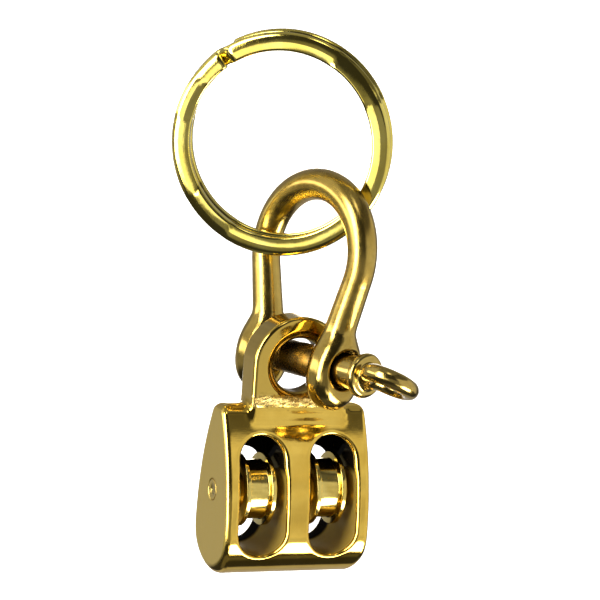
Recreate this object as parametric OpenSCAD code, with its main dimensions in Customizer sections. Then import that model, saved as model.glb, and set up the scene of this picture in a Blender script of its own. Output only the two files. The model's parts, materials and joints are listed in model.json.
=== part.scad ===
// Small brass double sheave block on a bow shackle and a split ring.
// The design frame has its origin at the middle of the sheave axle: X runs along the
// axle, Y from front to back and Z up to the eye. The finished part is then moved so
// that its origin is the point where the split ring hangs.

/* [Shell] */
// Width of the cast shell, cheek to cheek
shell_w = 19.9; // [19.6:0.1:21]
// Depth of the shell at its widest level
shell_d = 11.8; // [10.5:0.1:12.5]
// Height of the flat top above the axle
shell_top = 11.3; // [10.8:0.1:12]
// Depth of the widest level below the axle
shell_belly = 5.05; // [4:0.05:5.5]
// Radius of the slightly bulging front and back
shell_side_r = 33; // [30:1:40]
// Radius of the rounded top edges
shell_top_round = 1; // [0.6:0.1:1.2]

/* [Rope windows] */
// Width of each window
window_w = 6.1; // [5.9:0.1:6.3]
// Top of the windows above the axle
window_top = 7.6; // [7.3:0.05:7.8]
// Bottom of the windows below the axle
window_bottom = 7.55; // [7.3:0.05:7.8]
// Distance from the middle of the shell to the middle of a window
window_x = 4.85; // [4.7:0.05:5]
// Top of the windows above the axle where they go through the back wall
window_back_top = 5; // [4.8:0.1:5.2]
// How far behind the axle the back wall starts
window_back_y = 2.9; // [2.8:0.05:3]

/* [Eye of the shell] */
// Height of the middle of the eye above the axle
eye_z = 16.45; // [16.2:0.05:17]
// Sideways offset of the eye as cast
eye_x = 0.3; // [0:0.1:0.8]
// Outer radius of the eye
eye_r = 6.4; // [6:0.1:6.6]
// Radius of the hole through the eye
eye_hole_r = 3.5; // [3.4:0.05:3.55]
// Radius of the eye's hole at its flared mouths
eye_mouth_r = 4.4; // [4.2:0.1:4.6]
// Thickness of the eye from front to back
eye_t = 4.5; // [4.2:0.1:4.6]

/* [Sheaves and axle] */
// Outer diameter of a sheave
sheave_d = 9.5; // [9:0.1:9.8]
// Width of a sheave over its flanges
sheave_w = 4.1; // [4:0.1:4.6]
// Diameter of the floor of the rope groove
groove_d = 7.7; // [7.2:0.1:8]
// Width of the groove at the rim
groove_w = 3; // [2.6:0.1:3.2]
// Width of a sheave over its hub faces
hub_w = 5.5; // [5:0.1:5.6]
// Diameter of the hub faces
hub_d = 5; // [4.4:0.1:5.6]
// Diameter of the axle
axle_d = 2.7; // [2.4:0.1:3]

/* [Shackle bow] */
// Thickness of the bow at its crown
bow_crown_d = 4; // [3.9:0.05:4.1]
// Thickness of the bow's legs
bow_leg_d = 3.7; // [3.4:0.1:3.8]
// Radius of the crown's centre line
bow_crown_r = 8.9; // [8.6:0.1:9.4]
// Height of the crown's centre above the shackle pin
bow_crown_z = 13.7; // [13:0.1:14.5]
// How far the crown's arc runs on below its centre, in degrees
bow_wrap = 16.5; // [14:0.5:20]
// Radius of a lug
lug_r = 4.2; // [4:0.1:4.4]
// Thickness of a lug
lug_t = 4.5; // [4.3:0.1:4.6]
// Distance from the middle of the jaw to the middle of a lug
lug_y = 6.8; // [6.75:0.05:6.9]
// How far the middle of a lug is below the shackle pin
lug_drop = 1; // [0.6:0.1:1.2]
// Radius of the clear hole in the front lug
clear_hole_r = 2.55; // [2.4:0.05:2.7]

/* [Shackle pin] */
// Diameter of the pin
pin_d = 4.4; // [4.2:0.1:4.6]
// Diameter of the collar
collar_d = 5.8; // [5.6:0.1:6.4]
// Thickness of the collar
collar_t = 1.3; // [1:0.1:1.6]
// How far the pin is unscrewed: the gap between the collar and the lug
pin_gap = 2.7; // [1:0.1:3.5]
// Outer radius of the pin's eye
pin_eye_r = 3.9; // [3.6:0.1:4.2]
// Radius of the hole in the pin's eye
pin_eye_hole_r = 1.6; // [1.4:0.05:1.8]
// How far the pin's eye is turned about the pin, in degrees
pin_eye_turn = 22; // [10:1:30]

/* [Split ring] */
// Outer radius of one turn
ring_r = 14.45; // [14.3:0.05:14.6]
// Radial width of the flat wire
ring_w = 2.45; // [2.3:0.05:2.5]
// Thickness of one turn along the ring's axis
ring_t = 1.2; // [1.1:0.05:1.3]
// Sideways offset between each turn and the middle of the ring
ring_spread = 0.2; // [0.1:0.05:0.4]

/* [Pose at rest] */
// Turn of the shackle about the vertical, in degrees
shackle_turn = 20.8; // [16:0.1:24]
// Lean of the bow to the right, in degrees
shackle_lean = 5.4; // [0:0.1:8]
// Downward tilt of the shackle pin towards the front, in degrees
shackle_tilt = 0.5; // [-2:0.1:3]
// Turn of the split ring about the vertical, in degrees
ring_turn = -34.2; // [-35:0.1:-33.5]
// Tilt of the split ring, in degrees
ring_tilt = 0.2; // [-0.2:0.1:0.6]

/* [Hidden] */

$fn = 96;
eps = 0.01;                                   // overlap of cutting shapes
running = 0.05;                               // radial clearance of turning fits
side_x = shell_side_r - shell_d / 2;          // offset of the two side arcs' centres
axle_hole_r = axle_d / 2 + eps;
pin_r = pin_d / 2;
lug_outer = lug_y + lug_t / 2;                // outer face of a lug from the jaw's middle
thread_hole_r = pin_r + running;
collar_y = lug_outer + pin_gap;               // inner face of the collar
tip_y = lug_outer - pin_gap;                  // end of the thread, level with the lug when seated
eye_wire_r = (pin_eye_r - pin_eye_hole_r) / 2;
pin_eye_y = collar_y + collar_t + pin_eye_r - 0.1;
cut_angle = 127;                              // where the split ring's wire ends, from +X
cut_gap = 5;                                  // opening between the two ends, in degrees
joggle = 12;                                  // length of the crossing between turns, in degrees

// Middle of the shackle's jaw and middle of the split ring, in the design frame
jaw_mid = [0.6, -0.3, 17.2];
ring_mid = [-1.87, 4.33, 44.56];
ring_in_r = ring_r - ring_w;

function tilted(a, v) = [v.x, v.y * cos(a) - v.z * sin(a), v.y * sin(a) + v.z * cos(a)];
function turned(a, v) = [v.x * cos(a) - v.y * sin(a), v.x * sin(a) + v.y * cos(a), v.z];
// Highest point of the inside of the split ring, where the whole part hangs
hang_point = ring_mid + turned(ring_turn, tilted(ring_tilt, [0, 0, ring_in_r]));

// Frames ------------------------------------------------------------------------------

module in_part_frame() {
    translate(-hang_point) children();
}

module in_shackle_frame() {
    in_part_frame() translate(jaw_mid) rotate([0, 0, shackle_turn]) rotate([shackle_tilt, 0, 0])
        rotate([0, shackle_lean, 0]) children();
}

module in_ring_frame() {
    in_part_frame() translate(ring_mid) rotate([0, 0, ring_turn]) rotate([ring_tilt, 0, 0])
        children();
}

// A cylinder along X or Y, centred on the origin
module rod_x(r, h) {
    rotate([0, 90, 0]) cylinder(r = r, h = h, center = true);
}

module rod_y(r, h) {
    rotate([90, 0, 0]) cylinder(r = r, h = h, center = true);
}

// A cone along Y that opens towards +Y, from r1 at y = 0 to r2 at y = h
module mouth_y(r1, r2, h) {
    rotate([-90, 0, 0]) cylinder(r1 = r1, r2 = r2, h = h);
}

// Shell -------------------------------------------------------------------------------

// Side view of the shell: Y to the right, Z up
module shell_outline() {
    top_half = sqrt(pow(shell_side_r, 2) - pow(shell_top + shell_belly - shell_top_round, 2)) - side_x;
    translate([0, -shell_belly]) circle(d = shell_d);
    intersection() {
        translate([side_x, -shell_belly]) circle(r = shell_side_r, $fn = 360);
        translate([-side_x, -shell_belly]) circle(r = shell_side_r, $fn = 360);
        union() {
            translate([-shell_d / 2, -shell_belly])
                square([shell_d, shell_top + shell_belly - shell_top_round]);
            for (side = [-1, 1])
                translate([side * (top_half - shell_top_round), shell_top - shell_top_round])
                    circle(r = shell_top_round);
            translate([-(top_half - shell_top_round), 0])
                square([2 * (top_half - shell_top_round), shell_top]);
        }
    }
}

module slot(top, bottom, front, back) {
    r = window_w / 2;
    translate([0, back, 0]) rotate([90, 0, 0])
        for (z = [top - r, bottom + r])
            translate([0, z, 0]) cylinder(r = r, h = back - front);
    translate([-r, front, bottom + r])
        cube([window_w, back - front, top - bottom - window_w]);
}

module rope_window() {
    front = -shell_d / 2 - 1;
    slot(window_back_top, -window_bottom, front, shell_d / 2 + 1);
    slot(window_top, -window_w / 2, front, window_back_y);
}

module shell_eye() {
    foot_sink = 2.4;                          // how far the foot runs down into the shell
    mouth_h = 1.1;                            // depth of the flare at each face
    bevel = 1.2;                              // bevel of the eye's outer edges
    half = eye_t / 2;
    translate([eye_x, 0, eye_z]) difference() {
        union() {
            rotate([90, 0, 0]) rotate_extrude() polygon([
                [0, -half], [eye_r - bevel, -half], [eye_r, bevel - half],
                [eye_r, half - bevel], [eye_r - bevel, half], [0, half]
            ]);
            translate([0, 0, shell_top - foot_sink - eye_z])
                linear_extrude(eye_z - shell_top + foot_sink) polygon([
                    [-eye_r, bevel - half], [bevel - eye_r, -half], [eye_r - bevel, -half],
                    [eye_r, bevel - half], [eye_r, half - bevel], [eye_r - bevel, half],
                    [bevel - eye_r, half], [-eye_r, half - bevel]
                ]);
        }
        rod_y(eye_hole_r, eye_t + 2);
        for (side = [0, 180])
            rotate([0, 0, side]) translate([0, half - mouth_h, 0])
                mouth_y(eye_hole_r, eye_mouth_r, mouth_h + eps);
    }
}

module block_shell() {
    color("#c9a449") in_part_frame() difference() {
        union() {
            rotate([90, 0, 90]) linear_extrude(shell_w, center = true) shell_outline();
            shell_eye();
        }
        for (side = [-1, 1])
            translate([side * window_x, 0, 0]) rope_window();
        rod_x(axle_hole_r, shell_w + 2);
    }
}

// Sheaves and axle --------------------------------------------------------------------

module sheave(x) {
    rim = sheave_d / 2;
    floor_r = groove_d / 2;
    floor_half = groove_w / 2 - 0.15;         // the groove's walls lean out a little
    half = sheave_w / 2;
    bore_r = axle_d / 2 + running;
    color("#d6b25a") in_part_frame() translate([x, 0, 0]) rotate([0, 90, 0]) rotate_extrude()
        polygon([
            [bore_r, -hub_w / 2], [hub_d / 2, -hub_w / 2], [hub_d / 2, -half], [rim, -half],
            [rim, -groove_w / 2], [floor_r, -floor_half], [floor_r, floor_half],
            [rim, groove_w / 2], [rim, half], [hub_d / 2, half], [hub_d / 2, hub_w / 2],
            [bore_r, hub_w / 2]
        ]);
}

module sheave_left() {
    sheave(-window_x);
}

module sheave_right() {
    sheave(window_x);
}

// The axle is riveted and dressed level with both cheeks
module axle_pin() {
    color("#bb9a48") in_part_frame() rod_x(axle_d / 2, shell_w - 2 * eps);
}

// Shackle -----------------------------------------------------------------------------
// In the shackle's frame the pin runs along Y with its eye at the front (-Y), and the
// bow stands up along Z.

module bow_crown() {
    translate([0, 0, bow_crown_z]) rotate([90, 0, 90]) rotate([0, 0, -bow_wrap])
        rotate_extrude(angle = 180 + 2 * bow_wrap) translate([bow_crown_r, 0])
            circle(d = bow_crown_d);
}

// From just inside the end of the crown's arc, tangent to it, down into the lug
module bow_leg() {
    leg_l = 8;
    sink = 0.4;
    translate([0, bow_crown_r * cos(bow_wrap), bow_crown_z - bow_crown_r * sin(bow_wrap)])
        rotate([180 - bow_wrap, 0, 0]) translate([0, 0, -sink])
            cylinder(d = bow_leg_d, h = leg_l + sink);
}

module lug() {
    ball_r = 4.8;                             // rounds the lug's rims
    translate([0, lug_y, -lug_drop]) intersection() {
        rod_y(lug_r, lug_t);
        sphere(r = ball_r);
    }
}

module shackle_bow() {
    flare_h = 0.5;
    color("#a88a3a") in_shackle_frame() difference() {
        union() {
            bow_crown();
            for (side = [0, 1])
                mirror([0, side, 0]) {
                    bow_leg();
                    lug();
                }
        }
        translate([0, lug_y, 0]) rod_y(thread_hole_r, lug_t + 4);
        translate([0, -lug_y, 0]) rod_y(clear_hole_r, lug_t + 4);
        translate([0, -lug_outer + flare_h, 0]) rotate([0, 0, 180])
            mouth_y(clear_hole_r, clear_hole_r + flare_h, flare_h + eps);
    }
}

module pin_eye() {
    land = 0.5;                               // half the height of the hole's straight wall
    difference() {
        union() {
            rotate_extrude() translate([pin_eye_r - eye_wire_r, 0]) circle(r = eye_wire_r);
            cylinder(r = pin_eye_r - eye_wire_r, h = 2 * land, center = true);
        }
        cylinder(r = pin_eye_hole_r, h = 4, center = true);
    }
}

module shackle_pin() {
    tip_bevel = 0.5;
    neck_r = 1.5;
    neck_end = pin_eye_y - pin_eye_r + eye_wire_r;
    color("#ab8c3c") in_shackle_frame() {
        translate([0, (tip_y - tip_bevel - collar_y) / 2, 0])
            rod_y(pin_r, tip_y - tip_bevel + collar_y);
        translate([0, tip_y - tip_bevel, 0]) mouth_y(pin_r, pin_r - tip_bevel, tip_bevel);
        translate([0, -collar_y - collar_t / 2, 0]) intersection() {
            rod_y(collar_d / 2, collar_t);
            sphere(d = collar_d + 0.1);
        }
        translate([0, -(collar_y + neck_end) / 2, 0]) rod_y(neck_r, neck_end - collar_y);
        translate([0, -pin_eye_y, 0]) rotate([0, pin_eye_turn, 0]) pin_eye();
    }
}

// Split ring --------------------------------------------------------------------------
// Two turns of flat wire lie face to face. Near the cut the wire crosses from the front
// turn to the back turn.

module ring_turn_solid(y, shift, start, sweep) {
    translate([shift.x, y, shift.y]) rotate([90, 0, 0]) rotate([0, 0, start])
        rotate_extrude(angle = sweep, $fn = 180)
            translate([ring_r - ring_w, -ring_t / 2]) square([ring_w, ring_t]);
}

module split_ring() {
    shift = [0, -ring_spread];
    sweep = 360 - cut_gap;
    color("#e0c24a") in_ring_frame() {
        ring_turn_solid(-ring_t / 2, shift, cut_angle + cut_gap / 2, sweep);
        ring_turn_solid(ring_t / 2, -shift, cut_angle + cut_gap / 2 + joggle, sweep);
    }
}

block_shell();
sheave_left();
sheave_right();
axle_pin();
shackle_bow();
shackle_pin();
split_ring();
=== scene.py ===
import json
import math
import bpy
import numpy as np
from mathutils import Matrix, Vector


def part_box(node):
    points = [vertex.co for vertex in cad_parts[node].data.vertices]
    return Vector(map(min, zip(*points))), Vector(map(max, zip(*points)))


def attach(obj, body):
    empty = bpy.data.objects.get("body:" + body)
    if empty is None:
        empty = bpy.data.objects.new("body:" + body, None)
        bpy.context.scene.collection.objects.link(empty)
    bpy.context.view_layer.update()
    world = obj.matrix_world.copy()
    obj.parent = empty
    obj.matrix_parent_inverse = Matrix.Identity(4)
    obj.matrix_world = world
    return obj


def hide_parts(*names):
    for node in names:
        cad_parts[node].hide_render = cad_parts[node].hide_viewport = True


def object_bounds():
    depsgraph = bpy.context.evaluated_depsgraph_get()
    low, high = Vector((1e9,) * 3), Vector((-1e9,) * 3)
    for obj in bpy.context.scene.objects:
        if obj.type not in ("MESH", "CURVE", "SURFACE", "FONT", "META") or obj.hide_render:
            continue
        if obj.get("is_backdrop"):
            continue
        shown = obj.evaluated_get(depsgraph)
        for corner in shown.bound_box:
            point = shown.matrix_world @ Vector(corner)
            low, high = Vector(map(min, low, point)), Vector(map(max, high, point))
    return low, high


# A double sheave block of brass, with a bow shackle and a split ring. The pieces are made in
# mm, each assembly in a frame of its own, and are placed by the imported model's joints.

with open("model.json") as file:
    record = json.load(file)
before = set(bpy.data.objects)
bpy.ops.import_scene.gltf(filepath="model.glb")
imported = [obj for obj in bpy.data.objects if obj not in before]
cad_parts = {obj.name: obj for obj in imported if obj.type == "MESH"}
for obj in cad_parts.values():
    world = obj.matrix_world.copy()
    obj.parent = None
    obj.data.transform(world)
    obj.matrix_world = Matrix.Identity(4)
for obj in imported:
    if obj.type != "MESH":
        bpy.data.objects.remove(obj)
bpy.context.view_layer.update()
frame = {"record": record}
record = frame["record"]
mounts = {m["name"]: m for m in record["mounts"]}
joints = {j["name"]: j for j in record["behaviour"]["joints"]}

MM = 0.001
MICRON = 0.000001


# Frames: where each assembly sits, in metres, and how it is turned -----------------------

def unit(v):
    return v / np.linalg.norm(v)


def turned(y, z):
    """A frame with its Y axis along y and its Z axis as near to z as that leaves."""
    z = unit(z - y * (z @ y))
    return np.column_stack([np.cross(y, z), y, z])


axle = np.array(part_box("axle_pin")).mean(0)
jaw = np.array(joints["block_swing"]["pos_m"])
pin_out = np.array(joints["block_swing"]["axis"])         # from the jaw to the pin's eye
crown_top = np.array(mounts["bow_crown"]["pos_m"])
ring_mid = np.array(joints["ring_run"]["pos_m"])
ring_axis = np.array(joints["ring_run"]["axis"])

BLOCK = np.eye(3)
BOW = turned(unit(-pin_out), crown_top - jaw)
RING = turned(unit(ring_axis), unit(-ring_mid))


# Implicit shapes: each gives the distance to its surface in mm, less than 0 inside --------

def both(a, b, r=0.0):
    """Where both a and b are inside, with a rounding of radius r on the edge between them."""
    qa, qb = np.maximum(a + r, 0), np.maximum(b + r, 0)
    return np.minimum(np.maximum(a + r, b + r), 0) + np.hypot(qa, qb) - r


def join(a, b, k):
    """a and b together, with a fillet of about size k."""
    h = np.maximum(k - np.abs(a - b), 0) / k
    return np.minimum(a, b) - h * h * h * k / 6


def cut(a, b, r=0.0):
    return both(a, -b, r)


def length(*v):
    return np.sqrt(sum(c * c for c in v))


def segment(p, a, b, ra, rb):
    """A round bar from a to b, with radius ra at a and rb at b."""
    a, b = np.array(a, float), np.array(b, float)
    t = np.clip((p - a) @ (b - a) / ((b - a) @ (b - a)), 0, 1)
    return length(*(p - a - t[:, None] * (b - a)).T) - (ra + (rb - ra) * t)


def smooth(e0, e1, x):
    """0 at e0 and 1 at e1, with a smooth change between them."""
    t = np.clip((x - e0) / (e1 - e0), 0, 1)
    return t * t * (3 - 2 * t)


def between(x, a0, a1, b0, b1):
    """0 below a0, 1 from a1 to b0, and 0 again above b1."""
    return smooth(a0, a1, x) * (1 - smooth(b0, b1, x))


def wobble(p, size, seed):
    """A slow, smooth unevenness between about -1 and 1."""
    rng = np.random.default_rng(seed)
    out = np.zeros(len(p))
    for _ in range(5):
        k = rng.normal(size=3) / size
        out += np.sin(p @ k * 2.2 + rng.uniform(0, 6.3))
    return out / 3.2


# Meshes ----------------------------------------------------------------------------------

CORNERS = [(a, b, c) for a in (0, 1) for b in (0, 1) for c in (0, 1)]
LAYERS = 6                # layers of the grid worked out at a time
GRID, FINE_GRID = 0.15, 0.13
SLOPE_STEP = 0.012        # the distance over which a slope is measured
LEAST_SLOPE = 0.09        # the least square of a slope, which keeps the moves short


def sampled(f, lo, hi, h):
    """The values of f on a grid from lo to hi with steps of h."""
    n = np.ceil((hi - lo) / h).astype(int) + 1
    xs, ys, zs = (lo[k] + h * np.arange(n[k]) for k in range(3))
    F = np.empty(n, np.float32)
    Y, Z = (g.ravel() for g in np.meshgrid(ys, zs, indexing="ij"))
    for i in range(0, n[0], LAYERS):
        some = xs[i:i + LAYERS]
        P = np.stack([np.repeat(some, Y.size), np.tile(Y, len(some)), np.tile(Z, len(some))], 1)
        F[i:i + LAYERS] = f(P).reshape(len(some), n[1], n[2])
    return F


def cell_points(F):
    """A point for each cell that the surface crosses, and the point's number at each cell."""
    n = F.shape
    at = {c: F[c[0]:n[0] - 1 + c[0], c[1]:n[1] - 1 + c[1], c[2]:n[2] - 1 + c[2]] for c in CORNERS}
    count = sum((v < 0).astype(np.int8) for v in at.values())
    live = (count > 0) & (count < 8)
    cells = np.argwhere(live)
    number = np.full(live.shape, -1, np.int64)
    number[live] = np.arange(len(cells))
    values = {c: v[live] for c, v in at.items()}
    total, hits = np.zeros((len(cells), 3)), np.zeros(len(cells))
    for a in CORNERS:
        for k in range(3):
            if a[k]:
                continue
            b = a[:k] + (1,) + a[k + 1:]
            fa, fb = values[a], values[b]
            crossing = (fa < 0) != (fb < 0)
            point = np.tile(np.array(a, float), (len(cells), 1))
            point[:, k] += np.where(crossing, fa / np.where(crossing, fa - fb, 1), 0)
            total += point * crossing[:, None]
            hits += crossing
    return cells + total / hits[:, None], number


def cell_faces(S, number):
    """A face for each grid edge that crosses the surface, through the four cells round it."""
    n = S.shape
    quads = []
    for k in range(3):
        i, j = [d for d in range(3) if d != k]
        head, tail = [slice(None)] * 3, [slice(None)] * 3
        head[k], tail[k] = slice(0, -1), slice(1, None)
        first, second = S[tuple(head)], S[tuple(tail)]
        e = np.argwhere(first != second)
        e = e[(e[:, i] > 0) & (e[:, j] > 0) & (e[:, i] < n[i] - 1) & (e[:, j] < n[j] - 1)]
        round_edge = []
        for di, dj in ((1, 1), (0, 1), (0, 0), (1, 0)):
            cell = e.copy()
            cell[:, i] -= di
            cell[:, j] -= dj
            round_edge.append(number[tuple(cell.T)])
        Q = np.stack(round_edge, 1)
        inside = first[tuple(e.T)]
        facing_in = inside if k == 1 else ~inside
        Q[facing_in] = Q[facing_in][:, ::-1]
        quads.append(Q)
    Q = np.concatenate(quads)
    return Q[(Q >= 0).all(1)]


def onto_surface(f, V, h):
    """Moves the points V down the slope of f onto f = 0, in three steps."""
    for _ in range(3):
        slope = np.stack([f(V + d) - f(V - d) for d in np.eye(3) * SLOPE_STEP], 1) / (2 * SLOPE_STEP)
        step = (f(V) / np.maximum((slope * slope).sum(1), LEAST_SLOPE))[:, None] * slope
        V = V - np.clip(step, -0.5 * h, 0.5 * h)
    return V


def mesh(name, V, Q, mid, turn, body, masks):
    """A smooth piece from points in mm, in a frame turned by turn with its origin at mid."""
    me = bpy.data.meshes.new(name)
    W = V @ turn.T * MM + mid
    me.vertices.add(len(W))
    me.vertices.foreach_set("co", W.astype(np.float32).ravel())
    k = Q.shape[1]
    me.loops.add(Q.size)
    me.loops.foreach_set("vertex_index", Q.astype(np.int32).ravel())
    me.polygons.add(len(Q))
    me.polygons.foreach_set("loop_start", (np.arange(len(Q)) * k).astype(np.int32))
    me.polygons.foreach_set("loop_total", np.full(len(Q), k, np.int32))
    me.update(calc_edges=True)
    me.validate()
    me.polygons.foreach_set("use_smooth", np.full(len(me.polygons), True))
    for key, value in masks.items():
        at = me.attributes.new(key, "FLOAT", "POINT")
        at.data.foreach_set("value", value.astype(np.float32))
    ob = bpy.data.objects.new(name, me)
    bpy.context.scene.collection.objects.link(ob)
    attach(ob, body)
    return ob


def mesh_of(name, f, lo, hi, h, mid, turn, body, masks):
    """A piece with the surface f = 0 and, for each mask, a number at every point."""
    lo, hi = np.array(lo), np.array(hi)
    F = sampled(f, lo, hi, h)
    cells, number = cell_points(F)
    V = onto_surface(f, lo + cells * h, h)
    Q = cell_faces(F < 0, number)
    return mesh(name, V, Q, mid, turn, body, {key: mask(V) for key, mask in masks.items()})


def lathe(name, profile, mid, body, steps=192):
    """Turns a closed profile of (radius, along) points about the block's X axis."""
    P = np.array(profile)
    a = np.linspace(0, 2 * np.pi, steps, endpoint=False)
    m = len(P)
    V = np.stack([np.tile(P[:, 1], steps), np.outer(np.cos(a), P[:, 0]).ravel(),
                  np.outer(np.sin(a), P[:, 0]).ravel()], 1)
    i, j = np.meshgrid(np.arange(steps), np.arange(m), indexing="ij")
    i2, j2 = (i + 1) % steps, (j + 1) % m
    Q = np.stack([i * m + j, i * m + j2, i2 * m + j2, i2 * m + j], -1).reshape(-1, 4)
    return mesh(name, V, Q, mid, BLOCK, body, {})


def rounded(points, radii, n=5):
    """A closed polygon with its corners rounded by arcs of n steps."""
    out = []
    pts = [np.array(p, float) for p in points]
    for k, p in enumerate(pts):
        a, b = pts[k - 1] - p, pts[(k + 1) % len(pts)] - p
        la, lb = np.linalg.norm(a), np.linalg.norm(b)
        a, b = a / la, b / lb
        half = math.acos(np.clip(a @ b, -1, 1)) / 2
        back = min(radii[k] / math.tan(half), 0.49 * la, 0.49 * lb)
        r = back * math.tan(half)
        if r < 1e-4:
            out.append(p)
            continue
        mid = p + unit(a + b) * r / math.sin(half)
        first, last = p + a * back - mid, p + b * back - mid
        t0 = math.atan2(first[1], first[0])
        dt = (math.atan2(last[1], last[0]) - t0 + math.pi) % (2 * math.pi) - math.pi
        angles = [t0 + dt * q / n for q in range(n + 1)]
        out += [mid + r * np.array([math.cos(t), math.sin(t)]) for t in angles]
    return np.array(out)


# Block, measured in mm from the middle of the axle, X along it and Z up ------------------

SHELL_HALF, TOP_Z = 9.95, 11.3                      # half the width, and the shoulders
BELLY_Z, BELLY_R, SIDE_R = -5.05, 5.89, 33.0        # round lower end, and nearly flat sides
SIDE_EDGE, BELLY_EDGE_MORE, TOP_EDGE = 0.75, 0.8, 1.15
WIN_X, WIN_R, WIN_TOP, WIN_BOTTOM = 4.85, 3.05, 7.6, -7.55
WIN_BACK_TOP, WIN_BACK_Y = 5.0, 2.9                 # the back wall behind a window's upper end
WIN_EDGE, WIN_END_EDGE = 0.62, 0.5
EYE_X, EYE_Z, EYE_R, EYE_HOLE, EYE_HALF = 0.3, 16.45, 6.4, 3.5, 2.25
EYE_EDGE, EYE_FOOT_Z, EYE_FOOT_EDGE, EYE_FILLET = 0.55, 9.0, 0.5, 1.5
HOLE_FLARE, HOLE_EDGE = 1.25, 0.6
ROUGH_FOOT, DULL_FOOT = (10.6, 11.6, 12.3, 13.2), (10.9, 11.5, 12.2, 13.0)     # heights
AXLE_R, AXLE_HALF, AXLE_GAP, AXLE_BEVEL = 1.35, 9.94, 0.02, 0.06


def shell_profile(y, z):
    side = length(np.abs(y) + SIDE_R - BELLY_R, z - BELLY_Z) - SIDE_R
    lower = length(y, z - BELLY_Z) - BELLY_R
    return np.where(z > BELLY_Z, side, lower)


def window(x, z, cx, drop=0.0):
    """The outline of a window, with its upper end lower by drop."""
    top = WIN_TOP - drop
    mid, half = (top + WIN_BOTTOM) / 2, (top - WIN_BOTTOM) / 2 - WIN_R
    return length(x - cx, np.maximum(np.abs(z - mid) - half, 0)) - WIN_R


def block_f(p):
    x, y, z = p.T
    side_edge = SIDE_EDGE + BELLY_EDGE_MORE * smooth(-7.0, -10.6, z)
    d = both(shell_profile(y, z), np.abs(x) - SHELL_HALF, side_edge)
    d = both(d, z - TOP_Z, TOP_EDGE)
    # the eye on its foot
    ex, ez = x - EYE_X, z - EYE_Z
    rho = np.where(ez > 0, length(ex, ez), np.abs(ex))
    eye = both(rho - EYE_R, np.abs(y) - EYE_HALF, EYE_EDGE)
    eye = both(eye, EYE_FOOT_Z - z, EYE_FOOT_EDGE)
    d = join(d, eye, EYE_FILLET)
    hole = EYE_HOLE - length(ex, ez)
    d = np.where(z > TOP_Z + 0.2, both(d, hole, HOLE_FLARE), both(d, hole, HOLE_EDGE))
    # cast unevenness round the foot, on the front
    rough = between(z, *ROUGH_FOOT) * smooth(-1.2, -1.9, y)
    d = d - 0.045 * rough * wobble(p, 0.55, 3) - 0.03 * rough * wobble(p, 0.3, 4)
    for cx in (-WIN_X, WIN_X):
        d = cut(d, window(x, z, cx, WIN_TOP - WIN_BACK_TOP), WIN_EDGE)
        d = cut(d, both(window(x, z, cx), y - WIN_BACK_Y, WIN_END_EDGE), WIN_EDGE)
    # the axle's hole, with a fine bevel at each cheek
    at_cheek = smooth(SHELL_HALF - 0.1, SHELL_HALF, np.abs(x))
    bore = length(y, z) - (AXLE_R + AXLE_GAP) - AXLE_BEVEL * at_cheek
    return np.maximum(d, -bore)


def cheek_mask(p):
    x, z = p[:, 0], p[:, 2]
    return smooth(SHELL_HALF - 0.35, SHELL_HALF - 0.05, np.abs(x)) * (1 - smooth(10.5, 11.4, z))


def inside_painted_shade_mask(p):
    """Painted shade: 1 in the windows, and 0.8 in the eye's hole, where the shell is painted near-black.
    """
    x, y, z = p.T
    wall = smooth(0.35, 0.05, np.minimum(window(x, z, -WIN_X), window(x, z, WIN_X)))
    deep = smooth(0.3, 0.7, -shell_profile(y, z))
    behind = smooth(0.0, 1.0, y) * smooth(WIN_BACK_Y + 0.4, WIN_BACK_Y + 0.1, y)
    hole = smooth(0.35, 0.1, length(x - EYE_X, z - EYE_Z) - EYE_HOLE) * smooth(1.9, 1.2, np.abs(y))
    return np.maximum(wall * np.maximum(deep, behind), 0.8 * hole)


def cast_mask(p):
    """1 on the rough front of the eye's foot."""
    return between(p[:, 2], *DULL_FOOT) * smooth(-1.6, -2.1, p[:, 1])


def eye_mask(p):
    return smooth(11.0, 12.5, p[:, 2])


block = mesh_of("block_shell_casting", block_f, (-10.3, -6.3, -11.3), (10.3, 6.3, 23.2), GRID,
                axle, BLOCK, "block",
                {"satin": cheek_mask, "inner": inside_painted_shade_mask, "cast": cast_mask, "eye": eye_mask})
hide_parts("block_shell")

# Sheaves: rim, groove with a flat floor, hub bosses and bore
RIM_R, RIM_HALF, GROOVE_R, GROOVE_HALF, GROOVE_TAPER = 4.75, 2.05, 3.85, 1.42, 0.12
HUB_R, HUB_HALF, HUB_BORE = 2.5, 2.75, AXLE_R + 0.05
half_wheel = [(HUB_BORE, -HUB_HALF), (HUB_R, -HUB_HALF), (HUB_R, -RIM_HALF), (RIM_R, -RIM_HALF),
              (RIM_R, -GROOVE_HALF), (GROOVE_R, -GROOVE_HALF + GROOVE_TAPER)]
half_edges = [0.05, 0.12, 0.15, 0.16, 0.12, 0.16]
wheel = rounded(half_wheel + [(r, -x) for r, x in half_wheel[::-1]], half_edges + half_edges[::-1])
sheaves = []
for side, name in ((-1, "left"), (1, "right")):
    at = axle + np.array([side * WIN_X * MM, 0, 0])
    ob = lathe("sheave_%s_wheel" % name, wheel, at, "sheave_" + name)
    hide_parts("sheave_" + name)
    sheaves.append(ob)

# The axle, with a pin-point at each end's middle where the profile closes
AXLE_POINT = 0.002
rivet_r = AXLE_R - AXLE_GAP
rivet = rounded([(0.0, -AXLE_HALF), (rivet_r, -AXLE_HALF), (rivet_r, AXLE_HALF), (0.0, AXLE_HALF)],
                [0, 0.05, 0.05, 0], 4)
rivet[:, 0] = np.maximum(rivet[:, 0], AXLE_POINT)
axle_ob = lathe("axle_rivet", rivet, axle, "block", 96)
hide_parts("axle_pin")

# Shackle, measured in mm from the middle of the pin in the jaw: Y to the back lug, Z to the crown

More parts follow.
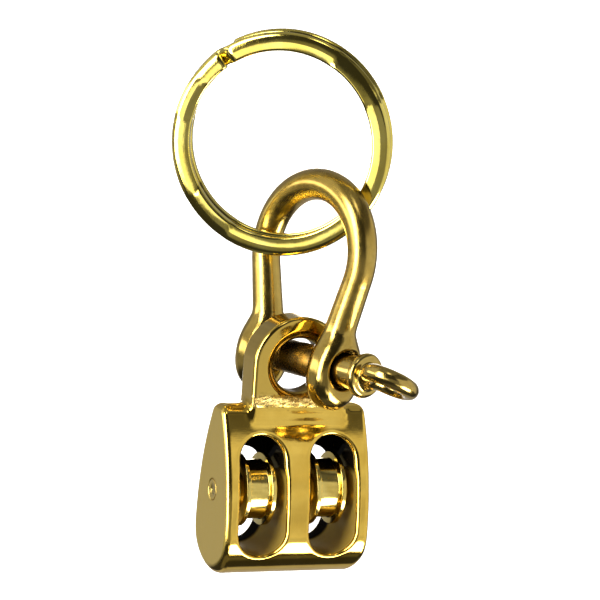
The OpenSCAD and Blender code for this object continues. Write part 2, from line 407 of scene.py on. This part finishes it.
CROWN_R, CROWN_Z = 8.9, 13.7
WRAP = math.radians(16.5)                           # how far past a half circle the crown runs
WIRE_R, CROWN_MORE = 1.87, 0.2                      # the crown's wire is thicker at its top
KNEE, KNEE_R = (0, 6.78, 4.6), 2.02
FOOT, FOOT_R = (0, 6.9, 1.0), 2.4
LUG_Y, LUG_HALF, LUG_DROP, LUG_EDGE, LUG_FILLET = 6.8, 2.25, 0.85, 1.9, 2.2
EGG_R, EGG_BELOW, EGG_ABOVE = 3.75, 4.6, 5.2        # the lug's half width and its two heights
LUG_OUT = LUG_Y + LUG_HALF
CLEAR_R, PIN_R, BORE_EDGE = 2.55, 2.2, 0.45
BACK_BORE_R = PIN_R + 0.05


def bore_distance(p):
    """How far a point is outside the pin's hole: a wide one in front, a close one behind."""
    x, y, z = p.T
    return length(x, z) - np.where(y > 0, BACK_BORE_R, CLEAR_R)


def bow_f(p):
    x, y, z = p.T
    ay = np.abs(y)
    q = np.stack([x, ay, z], 1)
    ang = np.arctan2(z - CROWN_Z, ay)
    arc = length(length(ay, z - CROWN_Z) - CROWN_R, x) - (WIRE_R + CROWN_MORE * smooth(-0.2, 1.3, ang))
    arc_end = np.array([0, CROWN_R * math.cos(WRAP), CROWN_Z - CROWN_R * math.sin(WRAP)])
    leg = np.minimum(segment(q, arc_end, KNEE, WIRE_R, KNEE_R), segment(q, KNEE, FOOT, KNEE_R, FOOT_R))
    wire = np.where(ang > -WRAP, arc, leg)
    # lug: an egg-shaped ball with two flat sides
    lz = z + LUG_DROP
    tall = np.where(lz > 0, EGG_ABOVE, EGG_BELOW)
    k0 = length(x / EGG_R, lz / tall)
    k1 = length(x / EGG_R ** 2, lz / tall ** 2)
    egg = k0 * (k0 - 1) / np.maximum(k1, 1e-3)
    lug = both(np.maximum(egg, -3.5), np.abs(ay - LUG_Y) - LUG_HALF, LUG_EDGE)
    return cut(join(wire, lug, LUG_FILLET), bore_distance(p), BORE_EDGE)


def lug_mask(p):
    return 1 - smooth(3.5, 7.5, p[:, 2])


# 1 on the walls of the pin's holes, which are painted dark as shade
def bore_painted_shade_mask(p):
    ay = np.abs(p[:, 1])
    return smooth(0.3, 0.08, bore_distance(p)) * smooth(LUG_OUT - 0.15, LUG_OUT - 0.6, ay)


bow = mesh_of("shackle_bow_forging", bow_f, (-4.6, -11.4, -6.2), (4.6, 11.4, 25.2), GRID,
              jaw, BOW, "bow", {"lug": lug_mask, "bore": bore_painted_shade_mask})
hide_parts("shackle_bow")

PIN_OUT = 2.7                                       # how far the pin is unscrewed
COLLAR_T, COLLAR_R, COLLAR_EDGE = 1.3, 2.9, 0.64
PIN_EYE_R, PIN_EYE_HOLE = 3.9, 1.6
PIN_EYE_TURN = math.radians(22)
NECK_R, NECK_TOP_R = 2.1, 1.5
THREAD_PITCH, THREAD_DEPTH = 0.7, 0.24
COLLAR_Y = LUG_OUT + PIN_OUT
TIP_Y = LUG_OUT - PIN_OUT
PIN_EYE_Y = COLLAR_Y + COLLAR_T + PIN_EYE_R - 0.1


def pin_f(p):
    x, y, z = p.T
    rho = length(x, z)
    # a fine thread over the far end, where it sits in the back lug
    turn = np.arctan2(z, x) / (2 * np.pi)
    saw = np.abs(((y / THREAD_PITCH + turn) % 1) * 2 - 1)
    thread = THREAD_DEPTH * smooth(0.15, 0.85, saw) * smooth(TIP_Y - 5.0, TIP_Y - 4.4, y)
    shank = both(rho - PIN_R + thread, np.maximum(y - TIP_Y, -COLLAR_Y - y), 0.3)
    collar_y = np.abs(y + COLLAR_Y + COLLAR_T / 2) - COLLAR_T / 2
    body = join(shank, both(rho - COLLAR_R, collar_y, COLLAR_EDGE), 0.25)
    neck_ends = (0, -COLLAR_Y - 0.5, 0), (0, -COLLAR_Y - COLLAR_T - 0.7, 0)
    neck = segment(p, *neck_ends, NECK_R, NECK_TOP_R)
    along = math.cos(PIN_EYE_TURN) * z + math.sin(PIN_EYE_TURN) * x       # along the eye's hole
    across = math.cos(PIN_EYE_TURN) * x - math.sin(PIN_EYE_TURN) * z
    wire = (PIN_EYE_R - PIN_EYE_HOLE) / 2
    eye = length(length(across, y + PIN_EYE_Y) - (PIN_EYE_R - wire), along) - wire
    return join(body, join(neck, eye, 0.9), 0.6)


def shank_painted_shade_mask(p):
    """1 on the part of the shank that is in the jaw or a lug, where it is painted darker as shade."""
    return smooth(-LUG_OUT, -LUG_OUT + 1.2, p[:, 1])


pin = mesh_of("shackle_pin_screw", pin_f, (-4.4, -PIN_EYE_Y - 4.3, -4.4), (4.4, TIP_Y + 0.4, 4.4),
              FINE_GRID, jaw, BOW, "pin", {"shank_painted_shade": shank_painted_shade_mask})
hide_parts("shackle_pin")

# Split ring: two turns of flat wire with a domed outer half, in degrees and mm ------------

RING_R, RING_W, RING_T = 14.43, 2.42, 1.2           # outer radius, the wire's width and thickness
DOME_R, DOME_START = 0.95, -0.05                    # the flat half ends where the dome starts
CUT, GAP, JOGGLE, SPREAD = 127.0, 2.2, 10.0, 0.2    # where the ends lie, and the step between turns
WIRE_SHORT = 4                                      # the second turn ends this far before the cut
TURN_GAP, END_TAPER, END_LENGTH = 0.008, 0.1, 1.2
RING_STEPS = 540
LEANS = (44, 13, 9.0), (228, 12, 9.0), (158, 9, -7.0)     # where, how wide, how far


def twist(deg):
    """How far the wire leans from flat, in radians: slow waves with three sharper leans."""
    a = math.radians(deg)
    t = 1.1 * math.sin(3 * a + 0.6) + 0.7 * math.sin(7 * a + 2.0)
    for at, wide, lean in LEANS:
        away = abs((deg - at + 180) % 360 - 180)
        t += lean * (1 - smooth(wide, wide + 5, away))
    return math.radians(t)


def wire_section():
    """The wire's outline, as (across, along the ring's axis) points."""
    half_w, half_t = RING_W / 2, RING_T / 2
    angles = np.radians(np.linspace(-72, 72, 17))
    dome = [(half_w - DOME_R + DOME_R * math.cos(b), half_t * math.sin(b)) for b in angles]
    points = [(-half_w, -half_t), (DOME_START, -half_t)] + dome + [(DOME_START, half_t), (-half_w, half_t)]
    return rounded(points, [0.3, 0.12] + [0.0] * len(dome) + [0.12, 0.3], 4)


def ring_wire():
    section = wire_section()
    total = 720 - 2 * GAP - WIRE_SHORT
    V, n = [], len(section)
    for t in total * np.arange(RING_STEPS + 1) / RING_STEPS:
        a = math.radians(CUT + GAP + t)
        # 0 on the first turn and 1 on the second
        over = smooth(360 - GAP - JOGGLE / 2, 360 - GAP + JOGGLE / 2, t)
        y = (-1 + 2 * over) * (RING_T / 2 + TURN_GAP)
        dz = -SPREAD * (1 - 2 * over)
        k = 1 - END_TAPER * (1 - smooth(0, END_LENGTH, min(t, total - t)))
        lean = twist(math.degrees(a) % 360)
        for s, v in section:
            r = RING_R - RING_W / 2 + k * (s * math.cos(lean) - v * math.sin(lean))
            along = k * (v * math.cos(lean) + s * math.sin(lean))
            V.append((r * math.cos(a), y + along, r * math.sin(a) + dz))
    V = np.array(V)
    i, j = np.meshgrid(np.arange(RING_STEPS), np.arange(n), indexing="ij")
    here, there, j2 = i * n, (i + 1) * n, (j + 1) % n
    Q = np.stack([here + j, there + j, there + j2, here + j2], -1).reshape(-1, 4)
    T = [Q[:, [0, 1, 2]], Q[:, [0, 2, 3]]]
    # close both ends on their middle points
    around = np.arange(n)
    for base, order in ((0, (0, 1, 2)), (RING_STEPS * n, (2, 1, 0))):
        centre = np.full(n, len(V))
        V = np.vstack([V, V[base:base + n].mean(0)])
        T.append(np.stack([centre, base + around, base + (around + 1) % n], 1)[:, order])
    return V, np.concatenate(T)


ring = mesh("split_ring_wire", *ring_wire(), ring_mid, RING, "ring", {})
ring.modifiers.new("weighted", "WEIGHTED_NORMAL").keep_sharp = True
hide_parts("split_ring")


# Materials -------------------------------------------------------------------------------

def rgb(r, g, b):
    return (r, g, b, 1.0)


def new_material(name):
    """A new material and its shader."""
    mat = bpy.data.materials.new(name)
    mat.use_nodes = True
    return mat, next(n for n in mat.node_tree.nodes if n.type == "BSDF_PRINCIPLED")


class Nodes:
    """A node tree, with short ways to add nodes and link them."""

    def __init__(self, tree, coords):
        self.tree = tree
        self.coords = self.add("ShaderNodeTexCoord").outputs[coords]

    def add(self, kind, **props):
        n = self.tree.nodes.new(kind)
        for k, v in props.items():
            setattr(n, k, v)
        return n

    def put(self, socket, value):
        if isinstance(value, bpy.types.NodeSocket):
            self.tree.links.new(value, socket)
        else:
            socket.default_value = value

    def noise(self, scale, detail, rough=0.55, stretch=None):
        src = self.coords
        if stretch:
            m = self.add("ShaderNodeMapping")
            self.put(m.inputs["Vector"], src)
            m.inputs["Scale"].default_value = stretch
            src = m.outputs["Vector"]
        n = self.add("ShaderNodeTexNoise")
        for k, v in (("Vector", src), ("Scale", scale), ("Detail", detail), ("Roughness", rough)):
            self.put(n.inputs[k], v)
        return n.outputs["Fac"]

    def mask(self, name):
        return self.add("ShaderNodeAttribute", attribute_name=name).outputs["Fac"]

    def math(self, op, a, b=0.0):
        n = self.add("ShaderNodeMath", operation=op)
        self.put(n.inputs[0], a)
        self.put(n.inputs[1], b)
        return n.outputs[0]

    def times(self, a, b):
        return self.math("MULTIPLY", a, b)

    def plus(self, a, b):
        return self.math("ADD", a, b)

    def span(self, x, a, b, c, d):
        """x, changed so that a becomes c and b becomes d, and kept between them."""
        n = self.add("ShaderNodeMapRange")
        for k, v in (("Value", x), ("From Min", a), ("From Max", b), ("To Min", c), ("To Max", d)):
            self.put(n.inputs[k], v)
        return n.outputs[0]

    def mix(self, t, a, b):
        n = self.add("ShaderNodeMix", data_type="RGBA")
        for k, v in (("Factor", t), ("A", a), ("B", b)):
            self.put(n.inputs[k], v)
        return n.outputs["Result"]


SPOT_SHADE = 0.45


class Brass(Nodes):
    """Brass with slow colour changes, fine hairlines, a slight unevenness and tarnished spots.

    The heights of the hairlines and of the unevenness are in metres."""

    def __init__(self, name, light, deep, rough, vary, hairlines, uneven, tarnish=0.0, coat=0.2):
        self.mat, self.shader = new_material(name)
        super().__init__(self.mat.node_tree, "Object")
        self.shader.inputs["Metallic"].default_value = 1.0
        self.shader.inputs["Coat Weight"].default_value = coat
        self.shader.inputs["Coat Roughness"].default_value = 0.06
        self.colour = self.mix(self.span(self.noise(260, 3), 0.35, 0.65, 0, 1), light, deep)
        if tarnish:
            spots = self.span(self.noise(700, 6, 0.7), 0.56, 0.74, 0, tarnish)
            self.tint(spots, rgb(*(SPOT_SHADE * c for c in deep[:3])))
        self.rough = self.span(self.noise(1500, 4), 0.3, 0.7, rough - vary, rough + vary)
        self.normal = None
        self.bump(self.noise(330, 2), uneven)
        lines = self.noise(900, 2, 0.5, (1.0, 14.0, 1.0))
        crossing = self.noise(1100, 2, 0.5, (9.0, 1.0, 2.0))
        self.bump(self.plus(lines, crossing), hairlines)

    def tint(self, amount, colour):
        self.colour = self.mix(amount, self.colour, colour)

    def roughen(self, mask, more):
        self.rough = self.plus(self.rough, self.times(mask, more))

    def bump(self, height, distance):
        n = self.add("ShaderNodeBump")
        self.put(n.inputs["Height"], height)
        n.inputs["Distance"].default_value = distance
        if self.normal is not None:
            self.put(n.inputs["Normal"], self.normal)
        self.normal = n.outputs[0]

    def finish(self, *pieces):
        self.put(self.shader.inputs["Base Color"], self.colour)
        self.put(self.shader.inputs["Roughness"], self.rough)
        self.put(self.shader.inputs["Normal"], self.normal)
        for piece in pieces:
            piece.data.materials.append(self.mat)


# cast shell: polished front and back, satin cheeks, windows and the eye's hole painted near-black as
# shade, and a dull cast foot
m = Brass("shell_polished", rgb(0.88, 0.60, 0.11), rgb(0.80, 0.52, 0.08), rough=0.075, vary=0.02,
          hairlines=2 * MICRON, uneven=20 * MICRON, coat=0.05)
satin, inner, cast = m.mask("satin"), m.mask("inner"), m.mask("cast")
m.tint(m.times(m.mask("eye"), 0.7), rgb(0.60, 0.42, 0.09))
m.tint(satin, rgb(0.82, 0.60, 0.14))
# painted shade: the windows, the wall behind them and the eye's hole are painted near-black, with no metal
# shine
m.tint(inner, rgb(0.005, 0.0035, 0.002))
m.put(m.shader.inputs["Metallic"], m.span(inner, 0, 1, 1, 0))
m.shader.inputs["Specular IOR Level"].default_value = 0.0
grains = m.span(m.noise(1400, 5, 0.7), 0.4, 0.62, 0, 1)
m.tint(cast, m.mix(grains, rgb(0.45, 0.29, 0.07), rgb(0.90, 0.68, 0.24)))
m.roughen(satin, 0.24)
m.roughen(inner, 0.45)
m.roughen(cast, 0.2)
m.bump(m.times(m.noise(2600, 5, 0.7), cast), 120 * MICRON)
m.bump(m.times(m.noise(1200, 4, 0.6), inner), 60 * MICRON)
m.bump(m.times(m.noise(1600, 3, 0.6, (1.0, 6.0, 1.0)), satin), 12 * MICRON)
m.finish(block)

# turned sheaves: rings of fine tool marks round the axle
m = Brass("sheave_turned", rgb(0.82, 0.645, 0.19), rgb(0.70, 0.51, 0.11), rough=0.13, vary=0.04,
          hairlines=1 * MICRON, uneven=4 * MICRON)
m.bump(m.noise(5200, 2, 0.6, (1.0, 0.02, 0.02)), 14 * MICRON)
m.finish(*sheaves)

m = Brass("axle_dressed", rgb(0.80, 0.59, 0.15), rgb(0.72, 0.52, 0.12), rough=0.3, vary=0.05,
          hairlines=3 * MICRON, uneven=6 * MICRON, coat=0.05)
m.finish(axle_ob)

# shackle: a browner satin bow with smoother lugs, and the walls of its holes painted dark as shade
m = Brass("shackle_satin", rgb(0.58, 0.41, 0.095), rgb(0.45, 0.30, 0.06), rough=0.23, vary=0.04,
          hairlines=5 * MICRON, uneven=10 * MICRON, tarnish=0.4)
# painted shade: the walls of the pin's holes are painted near-black
m.tint(m.mask("bore"), rgb(0.07, 0.045, 0.015))
m.roughen(m.mask("lug"), -0.08)
m.finish(bow)

m = Brass("pin_satin", rgb(0.60, 0.43, 0.11), rgb(0.46, 0.32, 0.07), rough=0.17, vary=0.04,
          hairlines=4 * MICRON, uneven=8 * MICRON, tarnish=0.4)
shank_painted_shade = m.mask("shank_painted_shade")
# painted shade: the shank inside the bow is painted darker, and is also made rougher
m.tint(shank_painted_shade, rgb(0.30, 0.20, 0.06))
m.roughen(shank_painted_shade, 0.1)
m.finish(pin)

m = Brass("ring_bright", rgb(0.88, 0.73, 0.17), rgb(0.82, 0.64, 0.10), rough=0.08, vary=0.02,
          hairlines=3 * MICRON, uneven=30 * MICRON, coat=0.7)
m.finish(ring)

# Camera ----------------------------------------------------------------------------------

AZIMUTH, ELEVATION, ROLL = math.radians(-22.6), math.radians(8.5), math.radians(4.0)
DISTANCE, VIEW_WIDTH = 370.0, 77.922                # mm, the width measured at the axle
AXLE_RIGHT, AXLE_UP = -2.09, -24.41                 # where the axle is in the picture, in mm
SENSOR = 36.0
back = np.array([math.sin(AZIMUTH) * math.cos(ELEVATION), -math.cos(AZIMUTH) * math.cos(ELEVATION),
                 math.sin(ELEVATION)])
right = np.array([math.cos(AZIMUTH), math.sin(AZIMUTH), 0.0])
up = np.cross(right, -back)
cam_x = right * math.cos(ROLL) + up * math.sin(ROLL)
cam_y = -right * math.sin(ROLL) + up * math.cos(ROLL)
cam_at = axle + (DISTANCE * back - AXLE_RIGHT * cam_x - AXLE_UP * cam_y) * MM
cam_data = bpy.data.cameras.new("camera")
cam_data.sensor_width = SENSOR
cam_data.lens = SENSOR * DISTANCE / VIEW_WIDTH
cam_data.clip_start, cam_data.clip_end = 0.01, 20
cam = bpy.data.objects.new("camera", cam_data)
bpy.context.scene.collection.objects.link(cam)
placed = np.eye(4)
placed[:3] = np.column_stack([cam_x, cam_y, back, cam_at])
cam.matrix_world = Matrix(placed.tolist())
bpy.context.scene.camera = cam
bpy.context.scene.view_settings.view_transform = "Standard"

# Studio ----------------------------------------------------------------------------------

lo, hi = (np.array(v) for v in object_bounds())
mid = (lo + hi) / 2


def staged(name, points, faces, material, colour):
    """A plain surface that only the camera sees, so it lights nothing and isn't reflected."""
    mat, shader = new_material(material)
    shader.inputs["Base Color"].default_value = colour
    shader.inputs["Roughness"].default_value = 0.9
    shader.inputs["Specular IOR Level"].default_value = 0.0
    shader.inputs["Emission Color"].default_value = colour
    shader.inputs["Emission Strength"].default_value = 1.0
    me = bpy.data.meshes.new(name)
    me.from_pydata(points, [], faces)
    me.materials.append(mat)
    ob = bpy.data.objects.new(name, me)
    bpy.context.scene.collection.objects.link(ob)
    ob.visible_glossy = ob.visible_diffuse = ob.visible_shadow = ob.visible_transmission = False
    ob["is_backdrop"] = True


FLOOR_HALF, FLOOR_DROP = 3.0, 0.02
square = (-1, -1), (1, -1), (1, 1), (-1, 1)
floor_points = [(mid[0] + sx * FLOOR_HALF, mid[1] + sy * FLOOR_HALF, lo[2] - FLOOR_DROP)
                for sx, sy in square]
staged("floor", floor_points, [(0, 1, 2, 3)], "floor_pale", rgb(0.97, 0.97, 0.97))

# a white backdrop, all round
DOME_SIZE, ROUND, RISE = 3, 48, 24
dome_points = [(DOME_SIZE * math.cos(a) * math.cos(e), DOME_SIZE * math.sin(a) * math.cos(e),
                DOME_SIZE * math.sin(e))
               for e in np.linspace(-math.pi / 2, math.pi / 2, RISE + 1)
               for a in np.linspace(0, 2 * math.pi, ROUND, endpoint=False)]
dome_faces = [(i * ROUND + j, i * ROUND + (j + 1) % ROUND, (i + 1) * ROUND + (j + 1) % ROUND,
               (i + 1) * ROUND + j) for i in range(RISE) for j in range(ROUND)]
staged("backdrop", dome_points, dome_faces, "backdrop_white", rgb(1, 1, 1))

# The light comes from the world: a dim room with these soft patches in it. Each row has the
# level, the first and last azimuth (0 in front, more to the right), the lowest and highest
# elevation, and how soft the edges are in azimuth and in elevation, all in degrees.
PATCHES = (
    (0.78, (8, 105), (-30, 31), 6, 2),        # big soft light in front and to the right
    (0.10, (8, 105), (31, 54), 6, 2),         # the room above it
    (0.30, (105, 181), (-2, 60), 6, 6),       # its spill on the right
    (0.30, (-181, -95), (-26, 60), 8, 6),     # room behind on the left
    (0.36, (-140, -60), (14, 62), 8, 6),      # wall on the left
    (0.22, (-60, 8), (-26, 5), 6, 3),         # room in front
    (12.0, (-84, -58), (-12, 44), 2, 2),      # tall soft box on the left
    (3.4, (-128, -90), (2, 17), 3, 2),        # small light behind it
    (16.0, (12, 60), (-52, -31), 3, 1.5),     # strip in front of the floor
    (2.2, (-12, 16), (-40, -31), 4, 2),       # its weaker end
    (4.0, (-30, -8), (58, 72), 3, 3),         # lamp overhead
    (0.24, (-181, 181), (60, 91), 0.1, 3),    # ceiling
    (4.5, (148, 170), (-22, 10), 3, 3),       # light behind on the right
    (0.10, (-181, -140), (-26, -2), 6, 6),    # low wall behind
    (1.4, (-60, -40), (-17, -3), 2, 1.5),     # low reflector on the left
    (0.42, (128, 181), (-66, -2), 5, 4),      # floor behind
    (0.10, (-181, 60), (-91, -60), 10, 3))    # floor in front
DIM = 0.035
WAVE, WANDER = 14.0, 10.0                     # how far the patches' edges wander, in degrees
DEGREES = math.degrees(1)

world = bpy.data.worlds.new("studio")
bpy.context.scene.world = world
world.use_nodes = True
world.node_tree.nodes.clear()
w = Nodes(world.node_tree, "Generated")
direction = w.add("ShaderNodeSeparateXYZ")
w.put(direction.inputs[0], w.coords)
X, Y, Z = direction.outputs
grain = w.noise(5.0, 3)
wave = w.math("SUBTRACT", w.noise(2.0, 2), 0.5)
wander = w.math("SUBTRACT", grain, 0.5)
elevation = w.plus(w.times(w.math("ARCSINE", Z), DEGREES), w.times(wave, WAVE))
azimuth = w.times(w.math("ARCTAN2", X, w.times(Y, -1.0)), DEGREES)
azimuth = w.plus(azimuth, w.times(wander, WANDER))


def band(x, a, b, soft):
    return w.times(w.span(x, a - soft, a + soft, 0, 1), w.span(x, b - soft, b + soft, 1, 0))


light = 0.0
for level, az, el, soft_az, soft_el in PATCHES:
    shape = w.times(band(azimuth, *az, soft_az), band(elevation, *el, soft_el))
    light = w.plus(light, w.times(shape, level))
light = w.plus(w.times(light, w.span(grain, 0.3, 0.7, 0.72, 1.2)), DIM)
background = w.add("ShaderNodeBackground")
w.put(background.inputs["Color"], rgb(1.0, 0.99, 0.97))
w.put(background.inputs["Strength"], light)
out = w.add("ShaderNodeOutputWorld")
w.put(out.inputs["Surface"], background.outputs[0])
